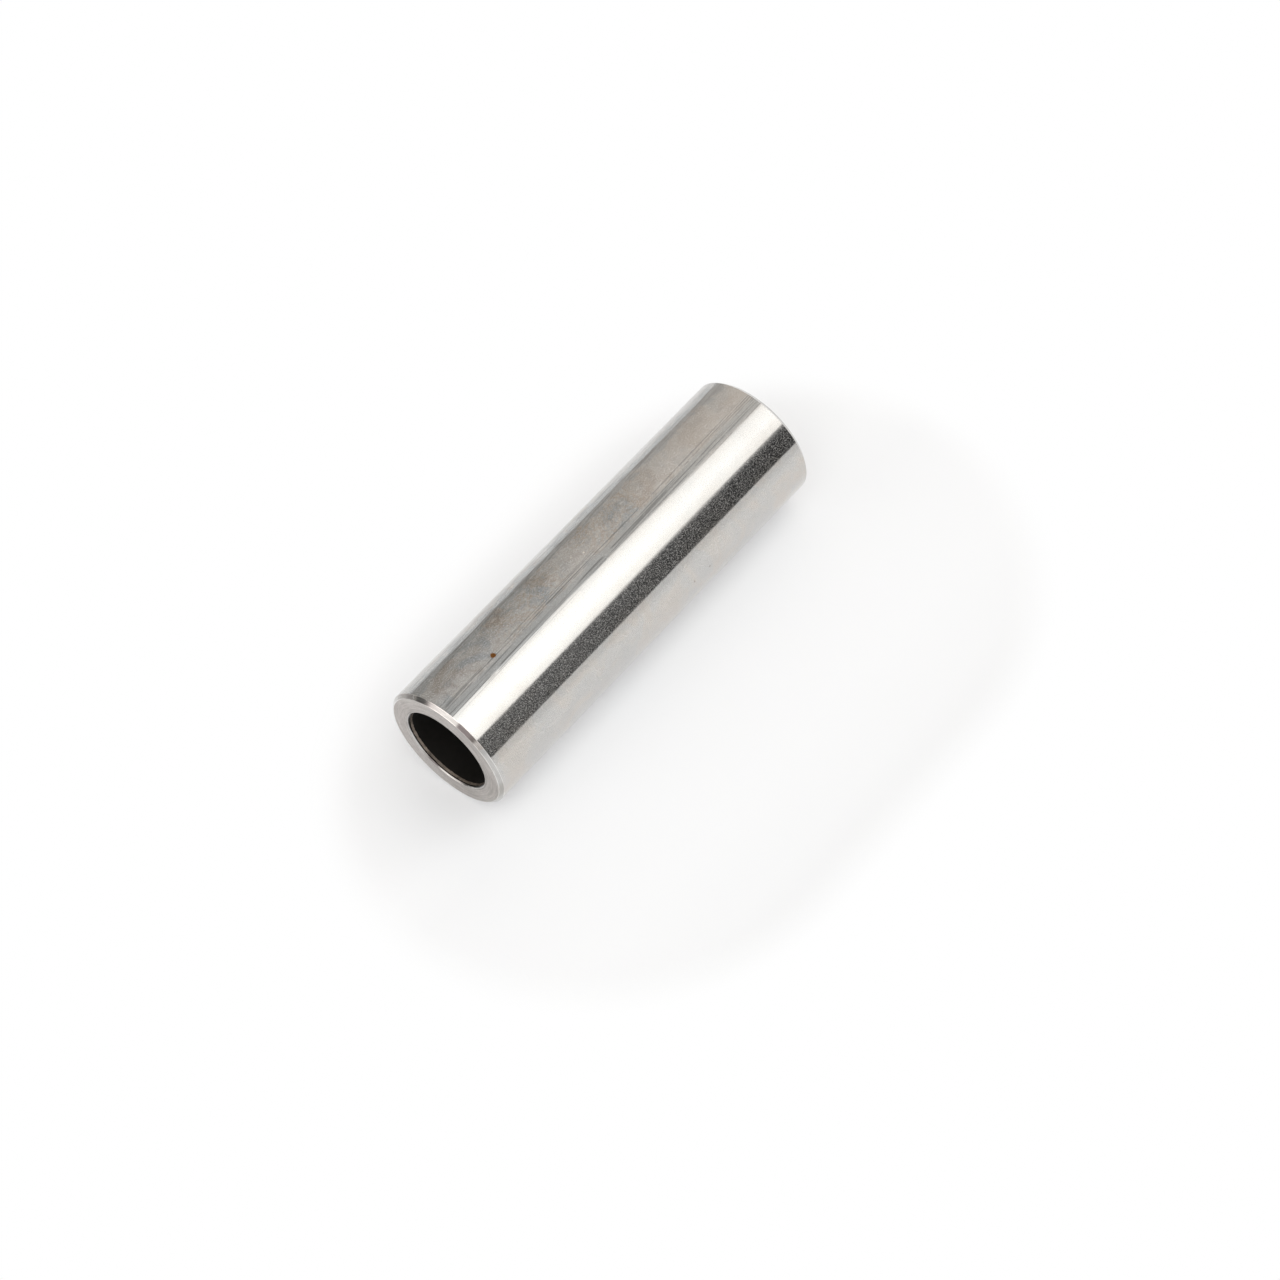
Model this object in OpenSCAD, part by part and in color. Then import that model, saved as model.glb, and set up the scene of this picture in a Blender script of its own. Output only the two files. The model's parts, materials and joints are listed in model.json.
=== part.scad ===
// Gudgeon pin: the hollow steel pin that joins a piston to the small end of its connecting rod.
// One turned, hardened and ground piece. It stands on one end face, with its axis along +Z.

/* [Pin] */
// Outside diameter of the ground cylinder
outside_diameter = 18; // [15:0.5:30]
// Length over the two end faces
pin_length = 60; // [30:1:120]
// Width of the 45 degree chamfer on each outer edge
edge_chamfer = 0.5; // [0.2:0.1:1]

/* [Bore] */
// Diameter of the bore that runs right through
bore_diameter = 12; // [8:0.1:14]
// How much wider than the bore the lead taper inside each mouth starts, on the diameter
taper_extra_diameter = 0.2; // [0.1:0.05:0.8]
// Length of the machined lead taper inside each mouth
taper_length = 0.5; // [0.2:0.1:5]
// Width of the 45 degree chamfer at each mouth
mouth_chamfer = 0.2; // [0.1:0.05:0.6]

/* [Hidden] */

// Facets around the axis, for the preview
round_facets = 180;

outer_r = outside_diameter / 2;
face_outer_r = outer_r - edge_chamfer;
bore_r = bore_diameter / 2;
taper_r = bore_r + taper_extra_diameter / 2;
face_inner_r = taper_r + mouth_chamfer;

// Depth below an end face at which the lead taper has come down to the plain bore
bore_start = mouth_chamfer + taper_length;

// One end of the half section, from the bore outwards, as [radius, depth below the end face]
end_points = [
    [bore_r, bore_start],
    [taper_r, mouth_chamfer],
    [face_inner_r, 0],
    [face_outer_r, 0],
    [outer_r, edge_chamfer]
];

// The same end turned over, for the far face, from the cylinder back to the bore
function far_end(points) =
    [for (i = [len(points) - 1 : -1 : 0]) [points[i][0], pin_length - points[i][1]]];

module half_section() {
    polygon(concat(end_points, far_end(end_points)));
}

module gudgeon_pin() {
    color([0.74, 0.72, 0.70])
        rotate_extrude($fn = round_facets)
            half_section();
}

gudgeon_pin();
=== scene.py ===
"""A hollow ground steel gudgeon pin, and the pale studio that it is shown in."""

import json
import math

import bpy
from bpy.props import FloatProperty, FloatVectorProperty, IntProperty, PointerProperty
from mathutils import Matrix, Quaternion, Vector


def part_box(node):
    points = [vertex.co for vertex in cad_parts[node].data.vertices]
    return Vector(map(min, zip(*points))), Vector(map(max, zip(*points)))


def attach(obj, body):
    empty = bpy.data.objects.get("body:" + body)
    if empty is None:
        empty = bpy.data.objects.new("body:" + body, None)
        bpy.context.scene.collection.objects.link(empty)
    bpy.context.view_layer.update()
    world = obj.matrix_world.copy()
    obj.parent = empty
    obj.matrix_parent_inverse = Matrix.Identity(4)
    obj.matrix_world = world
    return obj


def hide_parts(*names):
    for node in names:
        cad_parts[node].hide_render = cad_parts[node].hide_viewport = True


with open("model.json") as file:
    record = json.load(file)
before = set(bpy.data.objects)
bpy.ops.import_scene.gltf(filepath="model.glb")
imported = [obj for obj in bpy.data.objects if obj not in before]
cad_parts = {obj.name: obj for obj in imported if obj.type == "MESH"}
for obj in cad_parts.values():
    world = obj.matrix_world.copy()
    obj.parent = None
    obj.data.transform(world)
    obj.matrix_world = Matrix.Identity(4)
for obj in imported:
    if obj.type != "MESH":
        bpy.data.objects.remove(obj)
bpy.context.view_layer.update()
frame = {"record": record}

bl_info = {
    "name": "Gudgeon Pin",
    "version": (1, 0, 0),
    "blender": (4, 5, 0),
    "location": "3D View > Sidebar > Gudgeon Pin",
    "description": "Makes a ground steel gudgeon pin and the pale studio around it",
    "category": "Object",
}

MM = 0.001

PIN_NODE = "gudgeon_pin"
PIN_BODY = "root"
PIN_PIECE = "ground_pin"

# The surfaces of the section, from the ground cylinder round one end to the bore
SURFACES = ("ground_cylinder", "edge_chamfer", "end_face", "mouth_chamfer", "lead_taper", "bore")

# Distances from a rounded edge at which the mesh has a ring, and how near the edge it counts there, for the
# wear, painted highlight and painted shade along the edges
EDGE_RINGS = ((0.02 * MM, 0.9), (0.07 * MM, 0.55), (0.16 * MM, 0.25), (0.36 * MM, 0.0))
EDGE_ATTRIBUTE = "edge_nearness"

# Rings further along a straight side than this share of its length are left out
RING_REACH = 0.45

mount_sizes = {mount["name"]: mount["dims"] for mount in frame["record"]["mounts"]}
frame_low, frame_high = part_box(PIN_NODE)
frame_length = frame_high.z - frame_low.z


def ends_left_over(mount_name):
    """Length at each end of the pin that a mount's plain wall leaves over."""
    return (frame_length - mount_sizes[mount_name]["length_mm"] * MM) / 2


def length_property(name, description, default):
    return FloatProperty(
        name=name, description=description, default=default,
        min=0.0, precision=5, subtype="DISTANCE", unit="LENGTH",
    )


def color_property(name, description, default):
    return FloatVectorProperty(
        name=name, description=description, default=default,
        min=0.0, soft_max=1.0, size=3, subtype="COLOR",
    )


def number_property(name, description, default):
    return FloatProperty(name=name, description=description, default=default, min=0.0, precision=3)


class PinSizes(bpy.types.PropertyGroup):
    """Sizes of the pin, which the frame gives where it holds them."""

    outside_radius: length_property(
        "Outside radius", "Radius of the ground cylinder", mount_sizes["outside"]["r_mm"] * MM
    )
    pin_length: length_property("Length", "Length over the two end faces", frame_length)
    edge_chamfer: length_property(
        "Edge chamfer", "Width of the chamfer on each outer edge", ends_left_over("outside")
    )
    bore_radius: length_property(
        "Bore radius", "Radius of the bore", mount_sizes["bore"]["r_mm"] * MM
    )
    bore_start: length_property(
        "Bore start", "Depth at which the lead taper has come down to the bore", ends_left_over("bore")
    )
    taper_widening: length_property(
        "Taper widening", "How much wider than the bore the lead taper starts, on the radius", 0.1 * MM
    )
    mouth_chamfer: length_property("Mouth chamfer", "Width of the chamfer at each mouth", 0.2 * MM)
    edge_rounding: length_property("Edge rounding", "Radius of the broken edges", 0.03 * MM)
    segments: IntProperty(name="Segments", description="Facets around the axis", default=288, min=32)
    rounding_steps: IntProperty(
        name="Rounding steps", description="Facets across each broken edge", default=3, min=1
    )


class PinFinish(bpy.types.PropertyGroup):
    """Colours and gloss of the pin's steel."""

    steel_color: color_property("Ground steel", "The ground cylinder's steel", (0.59, 0.58, 0.565))
    face_color: color_property("End face steel", "The satin end faces", (0.55, 0.518, 0.499))
    taper_color: color_property("Taper steel", "The machined lead tapers", (0.34, 0.29, 0.25))
    bore_color: color_property("Bore scale", "The black scale in the bore", (0.012, 0.0105, 0.009))
    rust_color: color_property("Rust", "Specks of rust", (0.17, 0.066, 0.010))
    ground_roughness: number_property("Ground roughness", "Roughness of the ground cylinder", 0.085)
    face_roughness: number_property("Face roughness", "Roughness of the end faces", 0.36)


class StudioLook(bpy.types.PropertyGroup):
    """Camera and surroundings of the pale studio."""

    focal_length: number_property("Focal length", "Focal length of the camera, in millimetres", 109.44)
    camera_place: FloatVectorProperty(
        name="Camera place", description="Where the camera stands", size=3,
        default=(0.0, -0.44719, -0.16186), subtype="TRANSLATION", unit="LENGTH",
    )
    camera_aim: FloatVectorProperty(
        name="Camera aim", description="Point that the camera looks at", size=3,
        default=(0.00771, 0.0, 0.02848), subtype="TRANSLATION", unit="LENGTH",
    )
    camera_roll: FloatProperty(
        name="Camera roll", description="Turn of the camera about its line of sight",
        default=math.radians(43.849), subtype="ANGLE", unit="ROTATION",
    )
    backdrop_turn: FloatProperty(
        name="Backdrop turn", description="Direction that the backdrop faces, from the camera's side",
        default=math.radians(-31.2), subtype="ANGLE", unit="ROTATION",
    )
    paper_color: color_property("Paper", "The pale backdrop and floor", (0.707, 0.715, 0.735))
    paper_glow: number_property("Paper glow", "White that the paper shows of itself", 0.26)


def connect(tree, value, socket):
    """Links a socket, or sets a plain value, on an input socket."""
    if isinstance(value, bpy.types.NodeSocket):
        tree.links.new(value, socket)
    else:
        socket.default_value = value


def add_node(tree, kind, inputs=None, **settings):
    """Adds a node with its settings and its inputs, which are given by name or number."""
    node = tree.nodes.new("ShaderNode" + kind)
    for name, value in settings.items():
        setattr(node, name, value)
    for key, value in (inputs or {}).items():
        connect(tree, value, node.inputs[key])
    return node


def calculate(tree, operation, *values, clamp=False):
    inputs = dict(enumerate(values))
    return add_node(tree, "Math", inputs, operation=operation, use_clamp=clamp).outputs[0]


def vector_math(tree, operation, *vectors):
    """A vector sum, or its one number where the operation gives one."""
    node = add_node(tree, "VectorMath", dict(enumerate(vectors)), operation=operation)
    return node.outputs["Value" if operation in ("DOT_PRODUCT", "DISTANCE", "LENGTH") else "Vector"]


def map_range(tree, value, from_low, from_high, to_low=0.0, to_high=1.0):
    inputs = {"Value": value, "From Min": from_low, "From Max": from_high}
    inputs.update({"To Min": to_low, "To Max": to_high})
    return add_node(tree, "MapRange", inputs, interpolation_type="SMOOTHSTEP").outputs[0]


def mix_color(tree, factor, first, second, blend_type="MIX"):
    inputs = {0: factor, 6: first, 7: second}
    return add_node(tree, "Mix", inputs, data_type="RGBA", blend_type=blend_type).outputs[2]


def opaque(color):
    return (*color, 1.0)


def ramp(tree, factor, stops):
    """Colour ramp from (position, colour) stops."""
    node = add_node(tree, "ValToRGB", {0: factor})
    elements = node.color_ramp.elements
    while len(elements) < len(stops):
        elements.new(0.5)
    for element, (position, color) in zip(elements, stops):
        element.position = position
        element.color = opaque(color)
    return node.outputs[0]


def place_in_millimetres(tree):
    """Position on the pin's surface, in millimetres."""
    place = add_node(tree, "TexCoord").outputs["Object"]
    return vector_math(tree, "MULTIPLY", place, (1 / MM,) * 3)


def sideways_place(tree):
    """Place along X, in millimetres."""
    return add_node(tree, "SeparateXYZ", {0: place_in_millimetres(tree)}).outputs[0]


def distance_from_axis(tree):
    """Distance from the pin's axis, in millimetres."""
    return vector_math(tree, "LENGTH", vector_math(tree, "MULTIPLY", place_in_millimetres(tree), (1, 1, 0)))


def new_group(name, inputs, outputs):
    """Starts a shader node group, with inputs as (name, default) pairs of numbers and outputs as names."""
    group = bpy.data.node_groups.new(name, "ShaderNodeTree")
    for socket_name, default in inputs:
        socket = group.interface.new_socket(socket_name, in_out="INPUT", socket_type="NodeSocketFloat")
        socket.default_value = default
    for socket_name in outputs:
        group.interface.new_socket(socket_name, in_out="OUTPUT", socket_type="NodeSocketFloat")
    return group, group.nodes.new("NodeGroupInput"), group.nodes.new("NodeGroupOutput")


def use_group(tree, group, output, **inputs):
    """Places a node group in a material and gives one of its outputs."""
    node = tree.nodes.new("ShaderNodeGroup")
    node.node_tree = group
    for name, value in inputs.items():
        connect(tree, value, node.inputs[name.replace("_", " ").capitalize()])
    return node.outputs[output]


def grain_group():
    """Grain that is stretched around the pin or along it, and may wind round it."""
    inputs = [("Around", 0.2), ("Along", 0.2), ("Twist", 0.0)]
    group, given, result = new_group("Stretched grain", inputs, ["Grain"])
    place = place_in_millimetres(group)
    height = add_node(group, "SeparateXYZ", {0: place}).outputs[2]
    turn = calculate(group, "MULTIPLY", height, given.outputs["Twist"])
    wound = {"Vector": place, "Angle": turn}
    place = add_node(group, "VectorRotate", wound, rotation_type="Z_AXIS").outputs[0]
    around = calculate(group, "DIVIDE", 1.0, given.outputs["Around"])
    along = calculate(group, "DIVIDE", 1.0, given.outputs["Along"])
    scale = add_node(group, "CombineXYZ", {0: around, 1: around, 2: along}).outputs[0]
    stretched = vector_math(group, "MULTIPLY", place, scale)
    noise = add_node(group, "TexNoise", {"Vector": stretched, "Scale": 1.0, "Detail": 1.5, "Roughness": 0.6})
    connect(group, noise.outputs[0], result.inputs["Grain"])
    return group


def film_group():
    """Uneven thickness of a thin dried oil film."""
    inputs = [("Size", 5.0), ("Offset", 0.0), ("Swirl", 0.8)]
    group, given, result = new_group("Oil film", inputs, ["Thickness"])
    place = place_in_millimetres(group)
    scale = calculate(group, "DIVIDE", 1.0, given.outputs["Size"])
    shifted = vector_math(group, "ADD", place, given.outputs["Offset"])
    texture = {"Vector": shifted, "Scale": scale, "Distortion": given.outputs["Swirl"]}
    noise = add_node(group, "TexNoise", {**texture, "Detail": 5.0, "Roughness": 0.6})
    connect(group, noise.outputs[0], result.inputs["Thickness"])
    return group


# Range of uneven nearness to an edge over which the edge wear and painted light come in
WEAR_AND_LIGHT_RANGE = (0.35, 0.95)


def edge_wear_and_painted_light_group():
    """Uneven mask along the broken edges: wear with a painted highlight where it lightens them, painted shade
    where it darkens them.
    """
    group, given, result = new_group("Edge wear", [("Amount", 1.0)], ["Wear"])
    nearness = add_node(group, "Attribute", attribute_name=EDGE_ATTRIBUTE).outputs["Fac"]
    noise = add_node(
        group, "TexNoise",
        {"Vector": place_in_millimetres(group), "Scale": 1.6, "Detail": 4.0, "Roughness": 0.65},
    )
    uneven = calculate(group, "ADD", nearness, calculate(group, "SUBTRACT", noise.outputs[0], 0.5))
    wear_and_light = map_range(group, uneven, *WEAR_AND_LIGHT_RANGE)
    wear_and_light = calculate(group, "MULTIPLY", wear_and_light, given.outputs["Amount"], clamp=True)
    connect(group, wear_and_light, result.inputs["Wear"])
    return group


def speck_group():
    """Scattered specks of dust and fine pits."""
    group, given, result = new_group("Specks", [("Spacing", 2.0), ("Width", 0.1), ("Share", 0.3)], ["Specks"])
    place = place_in_millimetres(group)
    scale = calculate(group, "DIVIDE", 1.0, given.outputs["Spacing"])
    cells = add_node(group, "TexVoronoi", {"Vector": place, "Scale": scale})
    reach = calculate(group, "DIVIDE", given.outputs["Width"], given.outputs["Spacing"])
    spot = calculate(group, "LESS_THAN", cells.outputs["Distance"], reach)
    chance = add_node(group, "SeparateColor", {0: cells.outputs["Color"]}).outputs[0]
    chosen = calculate(group, "LESS_THAN", chance, given.outputs["Share"])
    connect(group, calculate(group, "MULTIPLY", spot, chosen), result.inputs["Specks"])
    return group


class SteelEffects:
    """The node groups that the pin's materials share."""

    def __init__(self):
        self.grain = grain_group()
        self.film = film_group()
        self.edge_wear_and_painted_light = edge_wear_and_painted_light_group()
        self.specks = speck_group()


def new_material(name):
    """A material with a Principled BSDF, returned with its node tree and that shader."""
    material = bpy.data.materials.new(name)
    material.use_nodes = True
    tree = material.node_tree
    tree.nodes.clear()
    shader = add_node(tree, "BsdfPrincipled")
    output = add_node(tree, "OutputMaterial", {"Surface": shader.outputs[0]})
    output.location = (300, 0)
    return material, tree, shader


def set_surface(tree, shader, color, roughness, metallic=1.0, normal=None):
    """Gives a shader its colour, roughness, share of bare metal and, where there is one, relief."""
    connect(tree, color, shader.inputs["Base Color"])
    connect(tree, roughness, shader.inputs["Roughness"])
    connect(tree, metallic, shader.inputs["Metallic"])
    if normal is not None:
        connect(tree, normal, shader.inputs["Normal"])


def bump(tree, height, distance):
    inputs = {"Height": height, "Distance": distance, "Strength": 1.0}
    return add_node(tree, "Bump", inputs).outputs[0]


def tinted(color, tint):
    """A colour multiplied part by part."""
    return opaque([part * share for part, share in zip(color, tint)])


def shaded(color, share):
    """A colour with all of its parts multiplied by one share."""
    return tinted(color, (share,) * 3)


def share_of(tree, mask, amount):
    return calculate(tree, "MULTIPLY", mask, amount)


def off_middle(tree, noise, amount):
    """How far a noise is off its middle value, times an amount."""
    return share_of(tree, calculate(tree, "SUBTRACT", noise, 0.5), amount)


def covered(tree, color, mask, cover, share=1.0):
    """A colour that another one covers where a mask says so."""
    return mix_color(tree, share_of(tree, mask, share), color, cover)


def stained(tree, color, mask, tint, share=1.0):
    """A colour that is multiplied by a tint where a mask says so."""
    return mix_color(tree, share_of(tree, mask, share), color, opaque(tint), "MULTIPLY")


# Specular level of what isn't bare metal
LOW_SHINE = 0.2

# Range of a grain over which a surface goes from its darkest and smoothest to its lightest and roughest
GRAIN_RANGE = (0.3, 0.7)


def grainy_color(tree, grain, color, darkest, lightest):
    """A colour that goes with the grain from one share of itself to another."""
    light = map_range(tree, grain, *GRAIN_RANGE)
    return mix_color(tree, light, shaded(color, darkest), shaded(color, lightest))


def grainy_roughness(tree, grain, least, most):
    return map_range(tree, grain, *GRAIN_RANGE, least, most)


def side_window(tree, angle, half_width, sway=0.0, core=0.5):
    """Mask of the pin's side that faces an angle, counted from the camera's side.

    The sway moves the mask's edges, and the core is the share of its width with the full value.
    """
    turn = math.radians(angle)
    place = place_in_millimetres(tree)
    ahead = vector_math(tree, "DOT_PRODUCT", place, (math.sin(turn), -math.cos(turn), 0.0))
    aside = vector_math(tree, "DOT_PRODUCT", place, (math.cos(turn), math.sin(turn), 0.0))
    off = calculate(tree, "ADD", calculate(tree, "ARCTAN2", aside, ahead), sway)
    off = calculate(tree, "ABSOLUTE", off)
    return map_range(tree, off, math.radians(half_width), math.radians(half_width * core))


def near_places(tree, place, reaches, radius):
    """Mask of round patches on the cylinder, each given as (angle, height, outer reach, inner reach)."""
    mask = 0.0
    for angle, height, outer, inner in reaches:
        turn = math.radians(angle)
        center = (radius * math.sin(turn), -radius * math.cos(turn), height)
        patch = map_range(tree, vector_math(tree, "DISTANCE", place, center), outer, inner)
        mask = calculate(tree, "MAXIMUM", mask, patch)
    return mask


# Single spots on the ground cylinder as (angle from the camera's side, height in mm, width in mm)
RUST_SPOTS = ((-26.2, 10.1, 0.72), (56.4, 37.2, 0.18), (56.8, 40.2, 0.22))
LIGHT_SPOTS = ((-32.9, 28.4, 0.22), (-38.5, 26.9, 0.18), (57.4, 19.0, 0.16))

# How far a spot's outline wanders, and half the width of its soft border, in mm
SPOT_JITTER = 0.3
SPOT_BORDER = 0.06


def spot_mask(tree, spots, radius):
    """Mask of single ragged spots on the cylinder, each given as (angle, height, width)."""
    place = place_in_millimetres(tree)
    noise = add_node(tree, "TexNoise", {"Vector": place, "Scale": 5.0, "Detail": 2.0}).outputs["Color"]
    jitter = vector_math(tree, "SUBTRACT", noise, (0.5, 0.5, 0.5))
    jitter = vector_math(tree, "MULTIPLY", jitter, (SPOT_JITTER,) * 3)
    place = vector_math(tree, "ADD", place, jitter)
    reaches = [
        (angle, height, width / 2 + SPOT_BORDER, width / 2 - SPOT_BORDER) for angle, height, width in spots
    ]
    return near_places(tree, place, reaches, radius)


# Dried drops of oil as (angle from the camera's side, height in mm, reach in mm)
OIL_DROPS = ((-50.0, 34.0, 7.5), (-40.0, 18.5, 8.0), (150.0, 24.0, 8.0), (100.0, 46.0, 6.0))

# Tints of a dried drop of oil by its thickness
DROP_TINTS = (
    (0.34, (1.0, 1.0, 1.0)),
    (0.41, (0.86, 0.79, 0.73)),
    (0.46, (1.0, 0.99, 0.97)),
    (0.51, (0.78, 0.82, 0.86)),
    (0.55, (1.0, 1.0, 0.99)),
    (0.60, (0.85, 0.78, 0.72)),
    (0.68, (0.82, 0.86, 0.89)),
)

# Step in thickness from one outline of a dried drop to the next, and half widths of an outline and its core
DROP_STEP = 0.05
DROP_OUTLINE = 0.014
DROP_OUTLINE_CORE = 0.2 * DROP_OUTLINE


def oil_drops(tree, radius):
    """Mask of the places where a drop of oil has dried."""
    reaches = [(angle, height, reach, reach / 2) for angle, height, reach in OIL_DROPS]
    return near_places(tree, place_in_millimetres(tree), reaches, radius)


# Sides of the ground cylinder as (angle from the camera's side, half width), in degrees
BARE_RIM = (-60.5, 8.0)
BARE_LINE = (-18.5, 5.0)
WIPED_LINE = (-20.5, 9.5)
WIPED_BACK = (160.0, 60.0)
RUBBED_RIM = (-72.0, 24.0)
OILED_FRONT = (-42.0, 48.0)
OILED_BACK = (130.0, 50.0)
CLEAN_FRONT = (-5.0, 20.0)
WARM_SIDE = (54.0, 36.0)
GRAINY_FRONT = (-15.0, 95.0)

# Ranges of a noise over which a mark on the ground cylinder comes in, from none of it to all
BROWN_RANGE = (0.46, 0.68)
BLUE_RANGE = (0.48, 0.70)
WARM_RANGE = (0.40, 0.60)
HAIRLINE_RANGE = (0.53, 0.59)
HAIRLINE_BREAKS = (0.30, 0.46)
STREAK_RANGE = (0.48, 0.57)
OUTLINE_BREAKS = (0.42, 0.56)
RUST_RANGE = (0.42, 0.58)

# The same with the shares that a mark goes between, by a noise, the height in mm or a side's mask
STREAK_BREAKS = (0.32, 0.50, 0.25, 1.0)
WIPED_FADE = (22.0, 50.0, 1.0, 0.65)
OILED_FADE = (30.0, 58.0, 0.65, 0.12)
DULL_RANGE = (0.47, 0.62, 0.0, 0.34)
DULL_FADE = (35.0, 58.0, 1.0, 0.88)
DULL_SIDES = (0.0, 1.0, 0.4, 1.0)

# How far the noises move the bare stripes' edges, in radians, and the dried drops' outlines, in thickness
FILM_SWAY = 0.35
DROP_SWAY = 0.55
FINE_SWAY = 0.2
OUTLINE_SWAY = 0.22

# Shares of the film's sway that the bare line has, of wiping at the back, and of tint in a dried drop
LINE_SWAY_SHARE = 0.3
WIPED_BACK_SHARE = 0.6
DROP_SHARE = 0.8

# Tints of the oil films, of marks on the steel and of dark rust, which multiply the colour below them
BROWN_FILM = (0.78, 0.71, 0.655)
BLUE_FILM = (0.75, 0.81, 0.87)
WARM_FILM = (1.07, 1.035, 1.0)
BARE_TINT = (0.79, 0.835, 0.87)
RUBBED_TINT = (0.50, 0.50, 0.51)
HAIRLINE_TINT = (0.24, 0.24, 0.24)
SPECK_TINT = (0.45, 0.42, 0.38)
DARK_RUST_TINT = (0.5, 0.45, 0.4)

# Colours of the dried drops' outlines and of the light spots
OUTLINE_COLOR = (0.72, 0.69, 0.64)
LIGHT_SPOT_COLOR = (0.85, 0.82, 0.76)

# Least share of the oil film, how much more roughness oil and rust give, and how deep the rim's streaks are
LEAST_OIL = 0.15
OIL_ROUGHNESS = 0.03
RUST_ROUGHNESS = 0.5
STREAK_DEPTH = 4.0


class CylinderNoise:
    """The noises that the marks on the ground cylinder are made from."""

    def __init__(self, tree, effects):
        self.grain = use_group(tree, effects.grain, "Grain", around=0.12, along=0.12)
        self.ripple = use_group(tree, effects.grain, "Grain", around=0.4, along=0.6)
        self.scratches = use_group(tree, effects.grain, "Grain", around=0.16, along=16.0, twist=0.002)
        self.breaks = use_group(tree, effects.grain, "Grain", around=0.5, along=2.6)
        self.streaks = use_group(tree, effects.grain, "Grain", around=0.24, along=6.0, twist=0.008)
        self.brown_oil = use_group(tree, effects.film, "Thickness", size=5.5)
        self.blue_oil = use_group(tree, effects.film, "Thickness", size=4.5, offset=37.0)
        self.drop_oil = use_group(tree, effects.film, "Thickness", size=3.4, offset=11.0, swirl=1.6)


def bare_stripes(tree, noise):
    """Mask of the two grey stripes along the pin that have no oil on them."""
    sway = off_middle(tree, noise.brown_oil, FILM_SWAY)
    rim_sway = calculate(
        tree, "ADD", off_middle(tree, noise.drop_oil, DROP_SWAY), off_middle(tree, noise.breaks, FINE_SWAY)
    )
    rim = side_window(tree, *BARE_RIM, calculate(tree, "ADD", sway, rim_sway), core=0.75)
    line = side_window(tree, *BARE_LINE, share_of(tree, sway, LINE_SWAY_SHARE))
    return calculate(tree, "MAXIMUM", rim, line)


def wiped_hairlines(tree, noise, height):
    """Mask of the fine lines that wiping has left along the pin."""
    back = share_of(tree, side_window(tree, *WIPED_BACK), WIPED_BACK_SHARE)
    wiped = calculate(tree, "MAXIMUM", side_window(tree, *WIPED_LINE), back)
    wiped = share_of(tree, wiped, map_range(tree, noise.breaks, *HAIRLINE_BREAKS))
    wiped = share_of(tree, wiped, map_range(tree, height, *WIPED_FADE))
    return share_of(tree, map_range(tree, noise.scratches, *HAIRLINE_RANGE), wiped)


def rubbed_streaks(tree, noise, rim):
    """Mask of the broken streaks at one rim of the pin."""
    streaks = map_range(tree, noise.streaks, *STREAK_RANGE)
    streaks = share_of(tree, streaks, map_range(tree, noise.breaks, *STREAK_BREAKS))
    return share_of(tree, streaks, rim)


def oil_cover(tree, height, greasy):
    """Share of the oil films that is left over the cylinder."""
    oiled = calculate(tree, "MAXIMUM", side_window(tree, *OILED_FRONT), side_window(tree, *OILED_BACK))
    oiled = share_of(tree, oiled, map_range(tree, height, *OILED_FADE))
    return calculate(tree, "ADD", share_of(tree, oiled, greasy), LEAST_OIL)


def dried_drops(tree, color, noise, drops):
    """The colour with dried drops of oil on it, and the mask of the drops' thin outlines."""
    thickness = calculate(tree, "ADD", noise.drop_oil, off_middle(tree, noise.ripple, OUTLINE_SWAY))
    color = mix_color(tree, drops, color, ramp(tree, thickness, DROP_TINTS), "MULTIPLY")
    off_step = calculate(tree, "PINGPONG", thickness, DROP_STEP)
    outlines = share_of(tree, map_range(tree, off_step, DROP_OUTLINE, DROP_OUTLINE_CORE), drops)
    outlines = share_of(tree, outlines, map_range(tree, noise.breaks, *OUTLINE_BREAKS))
    return covered(tree, color, outlines, opaque(OUTLINE_COLOR), share=0.6), outlines


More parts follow.
